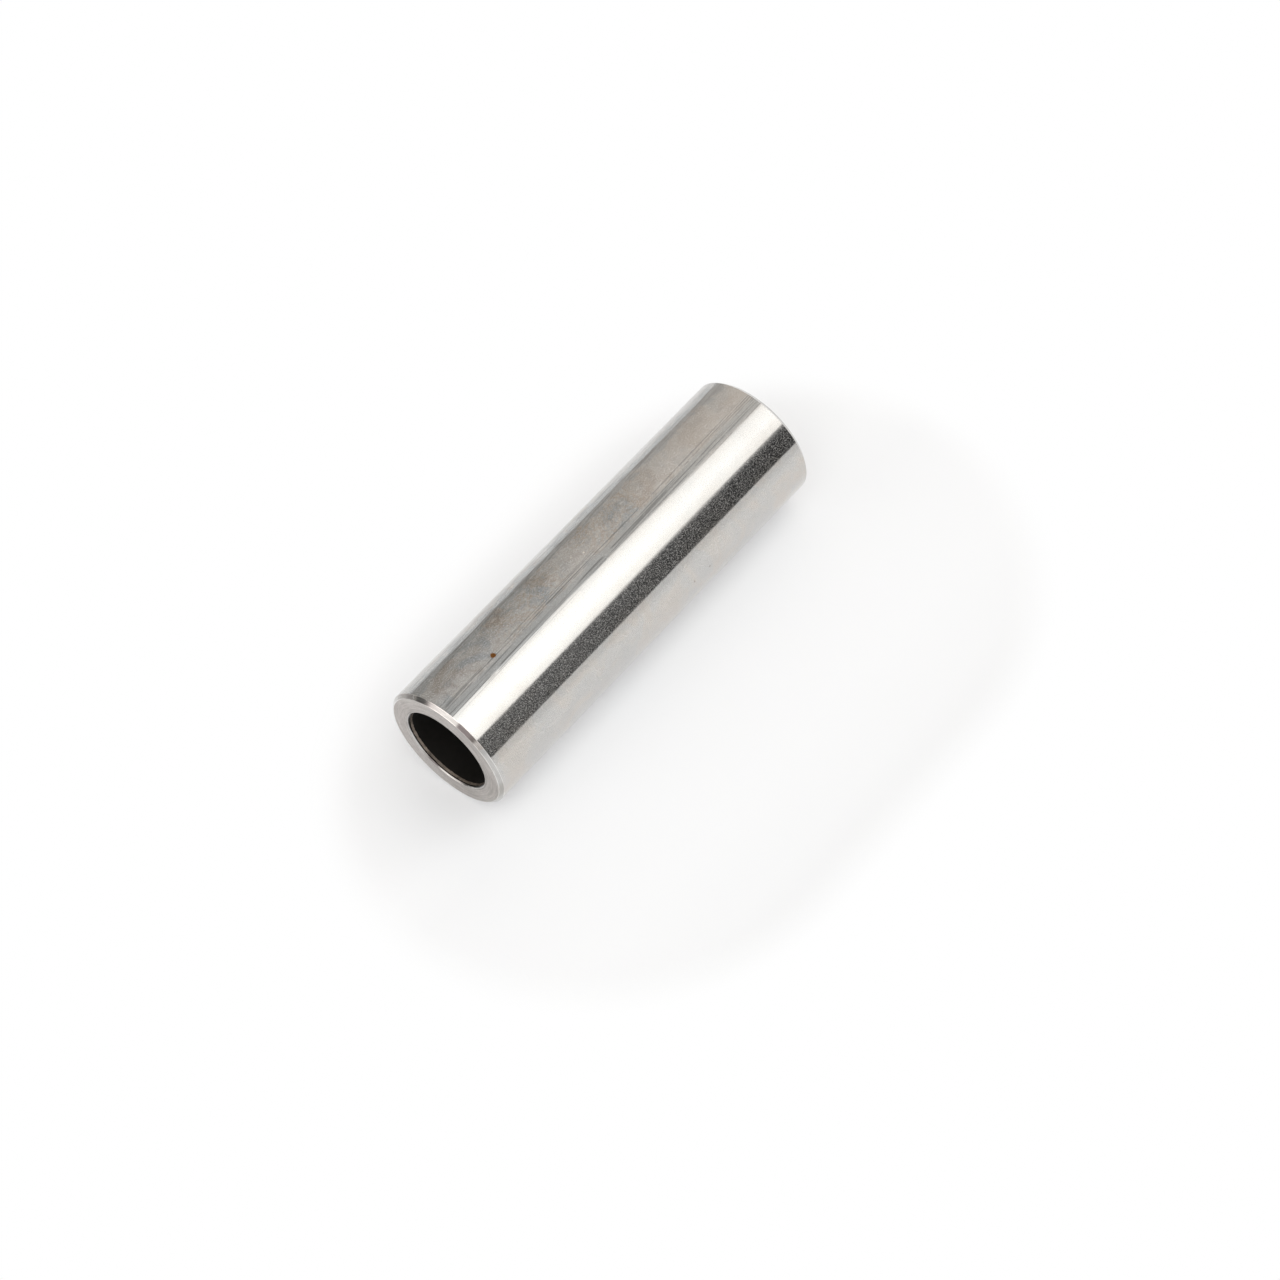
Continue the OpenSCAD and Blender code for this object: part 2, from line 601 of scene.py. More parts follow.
def ground_cylinder(finish, effects):
    """Ground and polished steel with a handled, slightly oily surface."""
    material, tree, shader = new_material("ground_cylinder")
    steel = finish.steel_color
    radius = mount_sizes["outside"]["r_mm"]
    noise = CylinderNoise(tree, effects)
    height = add_node(tree, "SeparateXYZ", {0: place_in_millimetres(tree)}).outputs[2]
    specks = use_group(tree, effects.specks, "Specks", spacing=2.6, width=0.08, share=0.3)
    brown_film = map_range(tree, noise.brown_oil, *BROWN_RANGE)
    blue_film = map_range(tree, noise.blue_oil, *BLUE_RANGE)
    warm_film = share_of(tree, map_range(tree, noise.brown_oil, *WARM_RANGE), side_window(tree, *WARM_SIDE))
    greasy = calculate(tree, "SUBTRACT", 1.0, side_window(tree, *CLEAN_FRONT))
    oiled = oil_cover(tree, height, greasy)
    drops = share_of(tree, oil_drops(tree, radius), share_of(tree, greasy, DROP_SHARE))
    hairlines = wiped_hairlines(tree, noise, height)
    rim = side_window(tree, *RUBBED_RIM)
    rust = spot_mask(tree, RUST_SPOTS, radius)
    rust_tone = mix_color(
        tree, map_range(tree, noise.grain, *RUST_RANGE),
        tinted(finish.rust_color, DARK_RUST_TINT), opaque(finish.rust_color),
    )

    color = grainy_color(tree, noise.grain, steel, darkest=0.88, lightest=1.12)
    color = stained(tree, color, brown_film, BROWN_FILM, share=oiled)
    color = stained(tree, color, blue_film, BLUE_FILM, share=oiled)
    color = stained(tree, color, warm_film, WARM_FILM)
    color, outlines = dried_drops(tree, color, noise, drops)
    color = covered(tree, color, bare_stripes(tree, noise), tinted(steel, BARE_TINT), share=0.7)
    color = covered(tree, color, rubbed_streaks(tree, noise, rim), tinted(steel, RUBBED_TINT), share=0.65)
    color = covered(tree, color, hairlines, tinted(steel, HAIRLINE_TINT), share=0.8)
    color = covered(tree, color, specks, tinted(steel, SPECK_TINT), share=0.6)
    color = covered(tree, color, spot_mask(tree, LIGHT_SPOTS, radius), opaque(LIGHT_SPOT_COLOR))
    color = covered(tree, color, rust, rust_tone)

    dull = map_range(tree, noise.grain, *DULL_RANGE)
    dull = share_of(tree, dull, map_range(tree, height, *DULL_FADE))
    dull = share_of(tree, dull, map_range(tree, side_window(tree, *GRAINY_FRONT), *DULL_SIDES))
    for mark, dullness in ((hairlines, 0.5), (outlines, 0.45), (rust, 1.0)):
        dull = calculate(tree, "MAXIMUM", dull, share_of(tree, mark, dullness))
    gloss = finish.ground_roughness
    roughness = map_range(tree, brown_film, 0.0, 1.0, gloss, gloss + OIL_ROUGHNESS)
    roughness = calculate(tree, "ADD", roughness, share_of(tree, rust, RUST_ROUGHNESS))
    relief = share_of(tree, share_of(tree, noise.streaks, rim), STREAK_DEPTH)
    for texture, depth in ((noise.grain, 0.3), (noise.scratches, 0.2), (noise.ripple, 0.35)):
        relief = calculate(tree, "ADD", relief, share_of(tree, texture, depth))
    metallic = calculate(tree, "SUBTRACT", 1.0, dull)
    set_surface(tree, shader, color, roughness, metallic, bump(tree, relief, distance=0.0012 * MM))
    shader.inputs["Specular IOR Level"].default_value = LOW_SHINE
    return material


# Colour of the worn edges with their painted highlight, and painted shade on one side of the edge chamfer:
# its tint, and its two borders along X in mm
EDGE_WEAR_AND_HIGHLIGHT_COLOR = (0.88, 0.87, 0.85)
CHAMFER_SHADE_TINT = (0.80, 0.785, 0.76)
CHAMFER_SHADE_START = (7.2, 7.9)
CHAMFER_SHADE_END = (8.75, 8.45)


def edge_chamfer(finish, effects):
    """Turned chamfer on the outer edge."""
    material, tree, shader = new_material("edge_chamfer")
    fine = use_group(tree, effects.grain, "Grain", around=0.9, along=0.08)
    wear_and_glint = use_group(tree, effects.edge_wear_and_painted_light, "Wear")
    sideways = sideways_place(tree)
    chamfer_shade = share_of(tree, map_range(tree, sideways, *CHAMFER_SHADE_START), map_range(tree, sideways, *CHAMFER_SHADE_END))
    color = grainy_color(tree, fine, finish.steel_color, darkest=0.84, lightest=1.0)
    # The broken edges are lightened for wear and a painted highlight
    color = covered(tree, color, wear_and_glint, opaque(EDGE_WEAR_AND_HIGHLIGHT_COLOR), share=0.85)
    # Painted shade darkens the side of the chamfer towards +X
    color = stained(tree, color, chamfer_shade, CHAMFER_SHADE_TINT)
    roughness = grainy_roughness(tree, fine, least=0.07, most=0.14)
    set_surface(tree, shader, color, roughness, normal=bump(tree, fine, distance=0.0006 * MM))
    return material


# The thin ring of dirt on the end face round the mouth: how far out from the bore, and half its width, in mm
MOUTH_RING_OUT = 0.44
MOUTH_RING_HALF_WIDTH = 0.09
MOUTH_RING_CORE = 0.3 * MOUTH_RING_HALF_WIDTH

# Turning marks on the end face: how many to a millimetre outwards, and how fast they change going round
MARKS_PER_MM = 5.5
MARKS_ROUND = 0.3

# Ranges of a noise over which the end face's marks come in, and the range along X in mm where painted shade
# darkens it
MARKS_RANGE = (0.36, 0.64)
RING_BREAKS = (0.35, 0.55)
CLOUD_RANGE = (0.38, 0.66)
SHADED_SIDE = (-4.0, 8.0)

# Tints of the end face's stains, marks and painted shade, and the colour of its worn edges with their painted
# highlight
CLOUD_TINT = (0.86, 0.85, 0.84)
SHADED_TINT = (0.95, 0.95, 0.94)
MARKS_TINT = (0.70, 0.70, 0.69)
RING_TINT = (0.45, 0.44, 0.43)
FACE_SPECK_TINT = (0.5, 0.48, 0.45)
FACE_WEAR_AND_HIGHLIGHT_COLOR = (0.72, 0.70, 0.69)
FACE_ROUGHNESS_SPREAD = 0.06


def turning_marks(tree):
    """Faint concentric marks that a facing tool leaves, each fading out along its way round."""
    place = add_node(tree, "SeparateXYZ", {0: place_in_millimetres(tree)})
    inputs = {
        0: share_of(tree, distance_from_axis(tree), MARKS_PER_MM),
        1: share_of(tree, place.outputs[0], MARKS_ROUND),
        2: share_of(tree, place.outputs[1], MARKS_ROUND),
    }
    vector = add_node(tree, "CombineXYZ", inputs).outputs[0]
    return add_node(tree, "TexNoise", {"Vector": vector, "Scale": 1.0, "Detail": 2.0}).outputs[0]


def mouth_ring(tree):
    """Mask of the thin ring of dirt on the end face round the mouth."""
    ring = mount_sizes["bore"]["r_mm"] + MOUTH_RING_OUT
    off = calculate(tree, "ABSOLUTE", calculate(tree, "SUBTRACT", distance_from_axis(tree), ring))
    return map_range(tree, off, MOUTH_RING_HALF_WIDTH, MOUTH_RING_CORE)


def end_face(finish, effects):
    """Satin end face with faint turning marks, grain, handling stains, painted shade towards one side and a
    painted highlight at its edges.
    """
    material, tree, shader = new_material("end_face")
    face = finish.face_color
    fine = use_group(tree, effects.grain, "Grain", around=0.22, along=0.22)
    cloud = map_range(tree, use_group(tree, effects.film, "Thickness", size=3.0), *CLOUD_RANGE)
    specks = use_group(tree, effects.specks, "Specks", spacing=1.8, width=0.07, share=0.3)
    wear_and_glint = use_group(tree, effects.edge_wear_and_painted_light, "Wear")
    marks = map_range(tree, turning_marks(tree), *MARKS_RANGE)
    ring = share_of(tree, mouth_ring(tree), map_range(tree, fine, *RING_BREAKS))
    color = grainy_color(tree, fine, face, darkest=0.88, lightest=1.16)
    color = stained(tree, color, cloud, CLOUD_TINT, share=0.8)
    # Painted shade darkens the face towards +X
    color = stained(tree, color, map_range(tree, sideways_place(tree), *SHADED_SIDE), SHADED_TINT)
    color = stained(tree, color, marks, MARKS_TINT, share=0.8)
    color = stained(tree, color, ring, RING_TINT, share=0.7)
    color = covered(tree, color, specks, tinted(face, FACE_SPECK_TINT), share=0.5)
    # The edges are lightened for wear and a painted highlight
    color = covered(tree, color, wear_and_glint, opaque(FACE_WEAR_AND_HIGHLIGHT_COLOR), share=0.4)
    smoothest = finish.face_roughness - FACE_ROUGHNESS_SPREAD
    roughness = grainy_roughness(tree, fine, smoothest, finish.face_roughness + FACE_ROUGHNESS_SPREAD)
    relief = calculate(tree, "ADD", share_of(tree, fine, 0.6), share_of(tree, marks, 0.4))
    set_surface(tree, shader, color, roughness, normal=bump(tree, relief, distance=0.003 * MM))
    return material


# Distance out from the bore over which painted shade on the mouth chamfer gives way to plain steel, in mm
MOUTH_SHADE_FROM = 0.12
MOUTH_SHADE_TO = 0.18

# How much further out the painted shade reaches on the mouth chamfer at its two sides, and from where along
# X, in mm
SIDE_SHADE_REACH = 0.07
SHADED_MOUTH_SIDES = (4.0, 6.1)


def mouth_chamfer(finish, effects):
    """Broken edge of the bore's mouth, plain steel with painted shade next to the bore."""
    material, tree, shader = new_material("mouth_chamfer")
    fine = use_group(tree, effects.grain, "Grain", around=0.8, along=0.06)
    side_shade = map_range(tree, calculate(tree, "ABSOLUTE", sideways_place(tree)), *SHADED_MOUTH_SIDES)
    out = calculate(tree, "SUBTRACT", distance_from_axis(tree), mount_sizes["bore"]["r_mm"])
    out = calculate(tree, "SUBTRACT", out, share_of(tree, side_shade, SIDE_SHADE_REACH))
    unshaded = map_range(tree, out, MOUTH_SHADE_FROM, MOUTH_SHADE_TO)
    steel = grainy_color(tree, fine, finish.steel_color, darkest=0.75, lightest=1.1)
    # Painted shade, in the bore's near-black colour, covers the chamfer next to the bore
    color = mix_color(tree, unshaded, opaque(finish.bore_color), steel)
    set_surface(tree, shader, color, grainy_roughness(tree, fine, least=0.16, most=0.28))
    return material


# Where the lead taper has painted shade, as a distance from its middle along X, and where it has painted
# light along X, in mm
SHADED_TAPER_MIDDLE = (2.2, 1.2)
LIT_TAPER_START = (-5.8, -5.0)
LIT_TAPER_END = (-1.2, -2.2)
# Shares of the taper's colour for its painted shade and its painted light
TAPER_SHADE_SHARE = 0.3
TAPER_LIGHT_SHARE = 1.9


def lead_taper(finish, effects):
    """Machined lead taper, with painted shade along both of its edges and in its middle, and painted light on
    one side.
    """
    material, tree, shader = new_material("lead_taper")
    taper = finish.taper_color
    fine = use_group(tree, effects.grain, "Grain", around=0.4, along=0.09)
    edge_shade = use_group(tree, effects.edge_wear_and_painted_light, "Wear", amount=2.2)
    sideways = sideways_place(tree)
    taper_shade = map_range(tree, calculate(tree, "ABSOLUTE", sideways), *SHADED_TAPER_MIDDLE)
    taper_light = share_of(tree, map_range(tree, sideways, *LIT_TAPER_END), map_range(tree, sideways, *LIT_TAPER_START))
    color = grainy_color(tree, fine, taper, darkest=0.4, lightest=1.3)
    # Painted shade darkens the middle of the taper along X
    color = covered(tree, color, taper_shade, shaded(taper, TAPER_SHADE_SHARE), share=0.6)
    # Painted light brightens one side of the taper along X
    color = covered(tree, color, taper_light, shaded(taper, TAPER_LIGHT_SHARE), share=0.6)
    # Painted shade, in the bore's near-black colour, darkens both edges of the taper
    color = covered(tree, color, edge_shade, opaque(finish.bore_color))
    roughness = grainy_roughness(tree, fine, least=0.4, most=0.6)
    set_surface(tree, shader, color, roughness, normal=bump(tree, fine, distance=0.003 * MM))
    return material


def bore(finish, effects):
    """Black scale on the unmachined bore."""
    material, tree, shader = new_material("bore")
    fine = use_group(tree, effects.grain, "Grain", around=0.3, along=0.5)
    color = grainy_color(tree, fine, finish.bore_color, darkest=0.6, lightest=1.0)
    roughness = grainy_roughness(tree, fine, least=0.6, most=0.8)
    set_surface(tree, shader, color, roughness, metallic=0.0, normal=bump(tree, fine, distance=0.01 * MM))
    shader.inputs["Specular IOR Level"].default_value = LOW_SHINE
    return material


# In the order of the surfaces
MATERIAL_MAKERS = (ground_cylinder, edge_chamfer, end_face, mouth_chamfer, lead_taper, bore)


def end_corners(sizes):
    """Corners of one end's half section as (radius, depth below the face), from the cylinder to the bore."""
    taper_radius = sizes.bore_radius + sizes.taper_widening
    return [
        (sizes.outside_radius, sizes.edge_chamfer),
        (sizes.outside_radius - sizes.edge_chamfer, 0.0),
        (taper_radius + sizes.mouth_chamfer, 0.0),
        (taper_radius, sizes.mouth_chamfer),
        (sizes.bore_radius, sizes.bore_start),
    ]


def section_corners(sizes):
    """Corners of the whole half section as (radius, height), and the surface that follows each."""
    corners = end_corners(sizes)
    upper = [Vector((radius, sizes.pin_length - depth)) for radius, depth in corners]
    lower = [Vector((radius, depth)) for radius, depth in reversed(corners)]
    upper_surfaces = SURFACES[1:]
    lower_surfaces = SURFACES[-2:0:-1] + SURFACES[:1]
    return upper + lower, upper_surfaces + lower_surfaces


def corner_arc(before, corner, after, rounding, steps):
    """Points of the small arc that breaks one edge of the section."""
    to_before = (before - corner).normalized()
    to_after = (after - corner).normalized()
    half_angle = to_before.angle(to_after) / 2
    center = corner + (to_before + to_after).normalized() * (rounding / math.sin(half_angle))
    reach = rounding / math.tan(half_angle)
    start = corner + to_before * reach - center
    end = corner + to_after * reach - center
    return [center + start.lerp(end, step / steps).normalized() * rounding for step in range(steps + 1)]


def side_rings(start, end):
    """Extra rings near both ends of a straight side, as (point, edge nearness)."""
    length = (end - start).length
    along = (end - start) / length
    near = [(distance, value) for distance, value in EDGE_RINGS if distance < RING_REACH * length]
    first = [(start + along * distance, value) for distance, value in near]
    last = [(end - along * distance, value) for distance, value in reversed(near)]
    return first + last


def section_rings(sizes):
    """The closed, rounded half section as (point, edge nearness, surface of the strip that follows)."""
    corners, surfaces = section_corners(sizes)
    count = len(corners)
    arcs = []
    for i, corner in enumerate(corners):
        before, after = corners[i - 1], corners[(i + 1) % count]
        arcs.append(corner_arc(before, corner, after, sizes.edge_rounding, sizes.rounding_steps))
    rings = []
    for i, arc in enumerate(arcs):
        middle = len(arc) // 2
        for step, point in enumerate(arc):
            rings.append((point, 1.0, surfaces[i - 1] if step < middle else surfaces[i]))
        for point, nearness in side_rings(arc[-1], arcs[(i + 1) % count][0]):
            rings.append((point, nearness, surfaces[i]))
    return rings


def turned_mesh(name, sizes):
    """Turns the section about the axis into one closed mesh."""
    rings = section_rings(sizes)
    segments = sizes.segments
    turns = [2 * math.pi * step / segments for step in range(segments)]
    points = [
        (point.x * math.cos(turn), point.x * math.sin(turn), point.y)
        for point, _, _ in rings
        for turn in turns
    ]
    faces = []
    surface_numbers = []
    for ring, (_, _, surface) in enumerate(rings):
        this_ring = ring * segments
        next_ring = (ring + 1) % len(rings) * segments
        for step in range(segments):
            beside = (step + 1) % segments
            faces.append((this_ring + step, this_ring + beside, next_ring + beside, next_ring + step))
            surface_numbers.append(SURFACES.index(surface))
    mesh = bpy.data.meshes.new(name)
    mesh.from_pydata(points, [], faces)
    mesh.polygons.foreach_set("material_index", surface_numbers)
    mesh.polygons.foreach_set("use_smooth", [True] * len(faces))
    nearness = mesh.attributes.new(EDGE_ATTRIBUTE, "FLOAT", "POINT")
    nearness.data.foreach_set("value", [value for _, value, _ in rings for _ in turns])
    mesh.update()
    return mesh


def link_object(name, data):
    thing = bpy.data.objects.new(name, data)
    bpy.context.scene.collection.objects.link(thing)
    return thing


class GUDGEON_OT_make_pin(bpy.types.Operator):
    """Make the ground steel pin in place of its plain solid"""

    bl_idname = "gudgeon.make_pin"
    bl_label = "Make pin"

    def execute(self, context):
        mesh = turned_mesh(PIN_PIECE, context.scene.pin_sizes)
        effects = SteelEffects()
        for make_material in MATERIAL_MAKERS:
            mesh.materials.append(make_material(context.scene.pin_finish, effects))
        pin = link_object(PIN_PIECE, mesh)
        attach(pin, PIN_BODY)
        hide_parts(PIN_NODE)
        return {"FINISHED"}


# The surround that the steel mirrors, by direction in degrees from straight off the backdrop:
# (direction, light low down, light high up), where low and high are what the two ends of the pin mirror
SURROUND_STOPS = (
    (-93.0, (0.39, 0.375, 0.355), (0.59, 0.555, 0.52)),
    (-56.0, (0.43, 0.415, 0.39), (0.70, 0.65, 0.59)),
    (-40.0, (0.52, 0.50, 0.48), (0.765, 0.705, 0.64)),
    (-22.0, (0.62, 0.605, 0.58), (0.82, 0.76, 0.695)),
    (-8.0, (0.63, 0.615, 0.595), (0.81, 0.76, 0.70)),
    (-1.4, (0.60, 0.59, 0.57), (0.78, 0.74, 0.70)),
    (2.0, (1.52, 1.50, 1.46), (1.54, 1.51, 1.46)),
    (9.0, (1.78, 1.76, 1.71), (1.67, 1.65, 1.60)),
    (17.0, (2.05, 2.04, 1.98), (1.77, 1.76, 1.72)),
    (30.0, (2.18, 2.17, 2.12), (1.85, 1.84, 1.81)),
    (46.0, (1.78, 1.76, 1.69), (1.64, 1.61, 1.55)),
    (51.0, (1.67, 1.65, 1.59), (1.56, 1.53, 1.48)),
    (52.2, (1.66, 1.63, 1.57), (0.50, 0.49, 0.48)),
    (53.5, (1.65, 1.62, 1.56), (0.30, 0.30, 0.30)),
    (55.1, (0.17, 0.17, 0.17), (0.25, 0.25, 0.25)),
    (57.0, (0.146, 0.146, 0.146), (0.10, 0.10, 0.103)),
    (62.0, (0.126, 0.126, 0.126), (0.035, 0.035, 0.037)),
    (92.0, (0.085, 0.085, 0.085), (0.015, 0.015, 0.015)),
)
SURROUND_PEAK = 2.2

# How far the near border of the bright stretch leans from low to high, and where that fades, in degrees
BORDER_LEAN = 5.0
LEAN_FADES = ((-40.0, -6.0), (9.0, 45.0))

# The surround's curve and height, in metres, with the heights that the two ends of the pin mirror
SURROUND_RADIUS = 0.6
SURROUND_LOW = -0.6
SURROUND_HIGH = 0.9
SURROUND_COLUMNS = 180
MIRRORED_LOW = 0.22
MIRRORED_HIGH = 0.36
BACKDROP_HALF_WIDTH = 0.5

# The stretch of backdrop that shows its own tone, around an upright line beside the pin
PALE_PATCH_SHIFT = 12 * MM
PALE_PATCH_LOW = 15 * MM
PALE_PATCH_HIGH = 45 * MM
PALE_PATCH_REACH = 31 * MM
WHITE_FROM = 38 * MM

# The floor lies a hair below the pin, and turns from its own tone to white between two distances from it
FLOOR_GAP = 0.02 * MM
FLOOR_PATCH_REACH = 30 * MM
FLOOR_WHITE_FROM = 70 * MM

# Share of the paper's own white that is left towards one side, by the distance along the backdrop in mm
GLOW_STOPS = ((5, 1.0), (11, 0.89), (30, 0.87), (40, 0.79), (52, 0.55), (65, 0.30), (85, 0.10))

# The strip below the pin that its lower chamfers mirror: (place along X, light)
LOWER_STRIP_STOPS = (
    (-0.60, (0.30, 0.29, 0.28)),
    (-0.50, (0.11, 0.11, 0.105)),
    (-0.43, (0.17, 0.165, 0.16)),
    (-0.40, (0.33, 0.31, 0.295)),
    (-0.355, (1.25, 1.15, 1.12)),
    (-0.28, (1.54, 1.46, 1.42)),
    (-0.17, (1.62, 1.56, 1.51)),
    (-0.085, (1.52, 1.44, 1.40)),
    (-0.065, (0.46, 0.40, 0.40)),
    (0.04, (0.45, 0.39, 0.39)),
    (0.102, (0.26, 0.23, 0.215)),
    (0.124, (0.94, 0.89, 0.86)),
    (0.20, (0.70, 0.65, 0.61)),
    (0.24, (0.90, 0.86, 0.84)),
    (0.40, (0.90, 0.86, 0.84)),
)
LOWER_STRIP_HEIGHT = -0.4
LOWER_STRIP_HALF_DEPTH = 0.4

# The card low on one side of the backdrop that the edge chamfer mirrors: (place along the backdrop, light)
LOW_CARD_STOPS = (
    (-0.33, (0.22, 0.21, 0.20)),
    (-0.16, (0.36, 0.345, 0.335)),
    (-0.083, (0.48, 0.46, 0.45)),
    (-0.05, (0.66, 0.64, 0.625)),
    (-0.042, (0.69, 0.67, 0.655)),
    (-0.028, (0.88, 0.87, 0.86)),
)
LOW_CARD_LOW = -0.4
LOW_CARD_HIGH = -0.001
LOW_CARD_GAP = 0.4 * MM


def backdrop_direction(look, angle):
    """Level direction at an angle from the backdrop's own facing direction."""
    turn = look.backdrop_turn + angle
    return Vector((math.sin(turn), -math.cos(turn), 0.0))


def sheet_mesh(name, columns, low, high):
    """A sheet that stands up along a row of level points, with a UV from 0 to 1 each way."""
    points = [(p.x, p.y, height) for height in (low, high) for p in columns]
    count = len(columns)
    faces = [(i, i + 1, count + i + 1, count + i) for i in range(count - 1)]
    mesh = bpy.data.meshes.new(name)
    mesh.from_pydata(points, [], faces)
    uv = mesh.uv_layers.new(name="sheet")
    for loop in mesh.loops:
        row, column = divmod(loop.vertex_index, count)
        uv.data[loop.index].uv = (column / (count - 1), row)
    return mesh


def stage_material(name):
    material = bpy.data.materials.new(name)
    material.use_nodes = True
    material.node_tree.nodes.clear()
    return material, material.node_tree


def ends_of(stops):
    """Places of the first stop and the last."""
    return stops[0][0], stops[-1][0]


def stop_places(stops):
    """The stops' places as shares of the whole span."""
    first, last = ends_of(stops)
    return [(stop[0] - first) / (last - first) for stop in stops]


def light_ramp(tree, factor, stops, which):
    """Ramp of one of the stops' lights, as a share of the surround's peak."""
    colors = [[part / SURROUND_PEAK for part in stop[which]] for stop in stops]
    return ramp(tree, factor, list(zip(stop_places(stops), colors)))


def light_material(name, make_color):
    """Emission in a colour that varies over the sheet."""
    material, tree = stage_material(name)
    uv = add_node(tree, "SeparateXYZ", {0: add_node(tree, "TexCoord").outputs["UV"]})
    light = add_node(tree, "Emission", {"Color": make_color(tree, uv), "Strength": SURROUND_PEAK})
    add_node(tree, "OutputMaterial", {"Surface": light.outputs[0]})
    return material


def surround_color(tree, uv):
    height = SURROUND_HIGH - SURROUND_LOW
    share = map_range(
        tree, uv.outputs[1], (MIRRORED_LOW - SURROUND_LOW) / height, (MIRRORED_HIGH - SURROUND_LOW) / height
    )
    first, last = ends_of(SURROUND_STOPS)
    (rise_start, rise_end), (fall_start, fall_end) = [
        [(angle - first) / (last - first) for angle in fade] for fade in LEAN_FADES
    ]
    leaning = share_of(
        tree,
        map_range(tree, uv.outputs[0], rise_start, rise_end, 0.0, BORDER_LEAN / (last - first)),
        map_range(tree, uv.outputs[0], fall_end, fall_start),
    )
    place = calculate(tree, "SUBTRACT", uv.outputs[0], share_of(tree, leaning, share))
    low = light_ramp(tree, place, SURROUND_STOPS, 1)
    high = light_ramp(tree, place, SURROUND_STOPS, 2)
    return mix_color(tree, share, low, high)


def lower_strip_color(tree, uv):
    return light_ramp(tree, uv.outputs[0], LOWER_STRIP_STOPS, 1)


def low_card_color(tree, uv):
    return light_ramp(tree, uv.outputs[0], LOW_CARD_STOPS, 1)


def add_to_stage(name, mesh, material, *hidden_from):
    """Puts a piece on the stage, hidden from some kinds of rays."""
    mesh.materials.append(material)
    piece = link_object(name, mesh)
    for rays in hidden_from:
        setattr(piece, "visible_" + rays, False)


def make_surround(look):
    """The curved screen that lights the pin and shows in its polish."""
    first, last = ends_of(SURROUND_STOPS)
    angles = [first + (last - first) * step / SURROUND_COLUMNS for step in range(SURROUND_COLUMNS + 1)]
    columns = [backdrop_direction(look, math.radians(angle)) * SURROUND_RADIUS for angle in angles]
    mesh = sheet_mesh("surround", columns, SURROUND_LOW, SURROUND_HIGH)
    add_to_stage("surround", mesh, light_material("surround", surround_color), "camera")


def make_lower_strip():
    """The level strip far below the pin that only polish shows."""
    first, last = ends_of(LOWER_STRIP_STOPS)
    half = LOWER_STRIP_HALF_DEPTH
    corners = [(first, -half), (last, -half), (last, half), (first, half)]
    mesh = bpy.data.meshes.new("lower_strip")
    mesh.from_pydata([(x, y, LOWER_STRIP_HEIGHT) for x, y in corners], [], [(0, 1, 2, 3)])
    uv = mesh.uv_layers.new(name="sheet")
    for loop, corner in zip(mesh.loops, ((0, 0), (1, 0), (1, 1), (0, 1))):
        uv.data[loop.index].uv = corner
    material = light_material("lower_strip", lower_strip_color)
    add_to_stage("lower_strip", mesh, material, "camera", "diffuse", "shadow")


def make_low_card(look, sizes):
    """The dim card low on one side of the backdrop that only polish shows."""
    facing = backdrop_direction(look, 0.0)
    side = backdrop_direction(look, math.radians(90.0))
    middle = -facing * (sizes.outside_radius - LOW_CARD_GAP)
    first, last = ends_of(LOW_CARD_STOPS)
    mesh = sheet_mesh("low_card", [middle + side * first, middle + side * last], LOW_CARD_LOW, LOW_CARD_HIGH)
    material = light_material("low_card", low_card_color)
    add_to_stage("low_card", mesh, material, "camera", "diffuse", "shadow")


def seen_directly(tree):
    """Masks of rays that come from the camera or off polish and glass, and from the camera alone."""
    path = add_node(tree, "LightPath")
    by_camera = path.outputs["Is Camera Ray"]
    seen = calculate(tree, "MAXIMUM", by_camera, path.outputs["Is Glossy Ray"])
    return calculate(tree, "MAXIMUM", seen, path.outputs["Is Transmission Ray"]), by_camera


def paper_material(name, look, foot, low, high, white_from, white_to):
    """Pale paper that keeps the pin's shadow, turns white away from it and can't be seen from behind."""
    material, tree = stage_material(name)
    seen, seen_by_camera = seen_directly(tree)
    paper = add_node(tree, "BsdfDiffuse", {"Color": opaque(look.paper_color)}).outputs[0]
    distance = distance_from_line(tree, foot, low, high)
    place = add_node(tree, "NewGeometry").outputs["Position"]
    side = backdrop_direction(look, math.radians(90.0))
    aside = vector_math(tree, "DOT_PRODUCT", place, side)
    first, last = [end * MM for end in ends_of(GLOW_STOPS)]
    span = calculate(tree, "DIVIDE", calculate(tree, "SUBTRACT", aside, first), last - first, clamp=True)
    shares = [(share,) * 3 for _, share in GLOW_STOPS]
    glow_share = ramp(tree, span, list(zip(stop_places(GLOW_STOPS), shares)))
    glow_strength = calculate(tree, "MULTIPLY", seen, look.paper_glow)
    glow = add_node(tree, "Emission", {"Color": glow_share, "Strength": glow_strength}).outputs[0]
    near = add_node(tree, "AddShader", {0: paper, 1: glow}).outputs[0]
    white = add_node(tree, "Emission", {"Strength": 1.0}).outputs[0]
    far = calculate(tree, "MULTIPLY", map_range(tree, distance, white_from, white_to), seen_by_camera)
    front = add_node(tree, "MixShader", {0: far, 1: near, 2: white}).outputs[0]
    clear = add_node(tree, "BsdfTransparent").outputs[0]
    behind = add_node(tree, "NewGeometry").outputs["Backfacing"]
    surface = add_node(tree, "MixShader", {0: behind, 1: front, 2: clear}).outputs[0]
    add_node(tree, "OutputMaterial", {"Surface": surface})
    return material


def distance_from_line(tree, foot, low, high):
    """Distance from an upright line over a point on the floor, between two heights."""
    place = add_node(tree, "NewGeometry").outputs["Position"]
    height = add_node(tree, "SeparateXYZ", {0: place}).outputs[2]
    height = calculate(tree, "MINIMUM", calculate(tree, "MAXIMUM", height, low), high)
    nearest = add_node(tree, "CombineXYZ", {0: foot.x, 1: foot.y, 2: height}).outputs[0]
    return vector_math(tree, "DISTANCE", place, nearest)


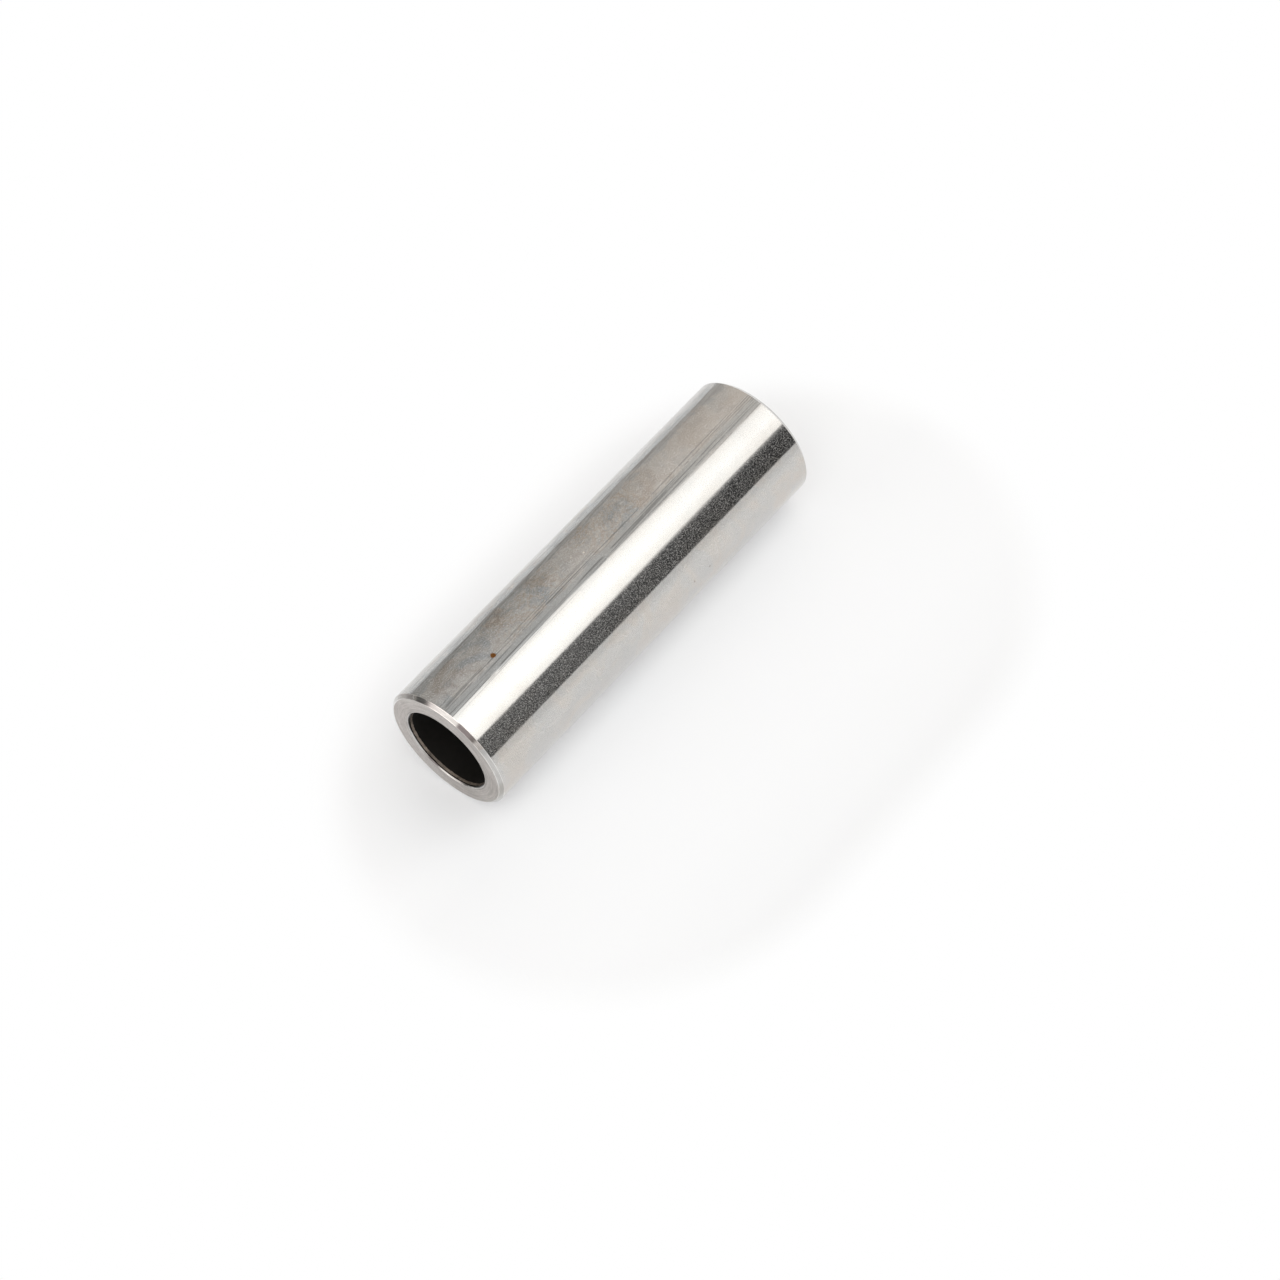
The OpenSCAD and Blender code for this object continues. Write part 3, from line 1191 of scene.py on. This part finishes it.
def make_backdrop(look, sizes):
    """The pale sheet that the pin lies against."""
    facing = backdrop_direction(look, 0.0)
    side = backdrop_direction(look, math.radians(90.0))
    middle = -facing * sizes.outside_radius
    columns = [middle - side * BACKDROP_HALF_WIDTH, middle + side * BACKDROP_HALF_WIDTH]
    mesh = sheet_mesh("backdrop", columns, SURROUND_LOW, SURROUND_HIGH)
    foot = middle + side * PALE_PATCH_SHIFT
    material = paper_material(
        "backdrop", look, foot, PALE_PATCH_LOW, PALE_PATCH_HIGH, PALE_PATCH_REACH, WHITE_FROM
    )
    add_to_stage("backdrop", mesh, material, "diffuse", "shadow")


def make_floor(look):
    """The pale floor that the pin stands on, which only shows from above."""
    half = SURROUND_RADIUS
    corners = [(-half, -half), (half, -half), (half, half), (-half, half)]
    mesh = bpy.data.meshes.new("floor")
    mesh.from_pydata([(x, y, -FLOOR_GAP) for x, y in corners], [], [(0, 1, 2, 3)])
    foot = Vector((0.0, 0.0))
    material = paper_material("floor", look, foot, 0.0, 0.0, FLOOR_PATCH_REACH, FLOOR_WHITE_FROM)
    add_to_stage("floor", mesh, material, "glossy", "diffuse", "shadow")


def make_world():
    world = bpy.data.worlds.new("white_room")
    world.use_nodes = True
    background = world.node_tree.nodes["Background"]
    background.inputs["Color"].default_value = (1, 1, 1, 1)
    background.inputs["Strength"].default_value = 1.0
    bpy.context.scene.world = world


def make_camera(look):
    camera_data = bpy.data.cameras.new("camera")
    camera_data.lens = look.focal_length
    camera_data.sensor_width = 36.0
    camera_data.clip_start = 0.01
    camera_data.clip_end = 10.0
    camera = link_object("camera", camera_data)
    aim = Vector(look.camera_aim) - Vector(look.camera_place)
    camera.location = look.camera_place
    camera.rotation_mode = "QUATERNION"
    camera.rotation_quaternion = aim.to_track_quat("-Z", "Y") @ Quaternion((0, 0, 1), look.camera_roll)
    bpy.context.scene.camera = camera


class GUDGEON_OT_make_studio(bpy.types.Operator):
    """Make the backdrop, floor, surround, world and camera"""

    bl_idname = "gudgeon.make_studio"
    bl_label = "Make studio"

    def execute(self, context):
        scene = context.scene
        look = scene.studio_look
        make_world()
        make_surround(look)
        make_lower_strip()
        make_low_card(look, scene.pin_sizes)
        make_backdrop(look, scene.pin_sizes)
        make_floor(look)
        make_camera(look)
        scene.view_settings.view_transform = "Standard"
        return {"FINISHED"}


class GUDGEON_PT_sidebar(bpy.types.Panel):
    """Sidebar panel of the pin and its studio"""

    bl_idname = "GUDGEON_PT_sidebar"
    bl_label = "Gudgeon Pin"
    bl_space_type = "VIEW_3D"
    bl_region_type = "UI"
    bl_category = "Gudgeon Pin"

    def draw(self, context):
        for settings in ("pin_sizes", "pin_finish", "studio_look"):
            group = getattr(context.scene, settings)
            box = self.layout.box()
            for name in type(group).__annotations__:
                box.prop(group, name)
        for operator in (GUDGEON_OT_make_pin, GUDGEON_OT_make_studio):
            self.layout.operator(operator.bl_idname)


CLASSES = (PinSizes, PinFinish, StudioLook, GUDGEON_OT_make_pin, GUDGEON_OT_make_studio, GUDGEON_PT_sidebar)


def register():
    for item in CLASSES:
        bpy.utils.register_class(item)
    bpy.types.Scene.pin_sizes = PointerProperty(type=PinSizes)
    bpy.types.Scene.pin_finish = PointerProperty(type=PinFinish)
    bpy.types.Scene.studio_look = PointerProperty(type=StudioLook)


def unregister():
    del bpy.types.Scene.studio_look
    del bpy.types.Scene.pin_finish
    del bpy.types.Scene.pin_sizes
    for item in reversed(CLASSES):
        bpy.utils.unregister_class(item)


def main():
    register()
    bpy.ops.gudgeon.make_pin()
    bpy.ops.gudgeon.make_studio()


if __name__ == "__main__":
    main()
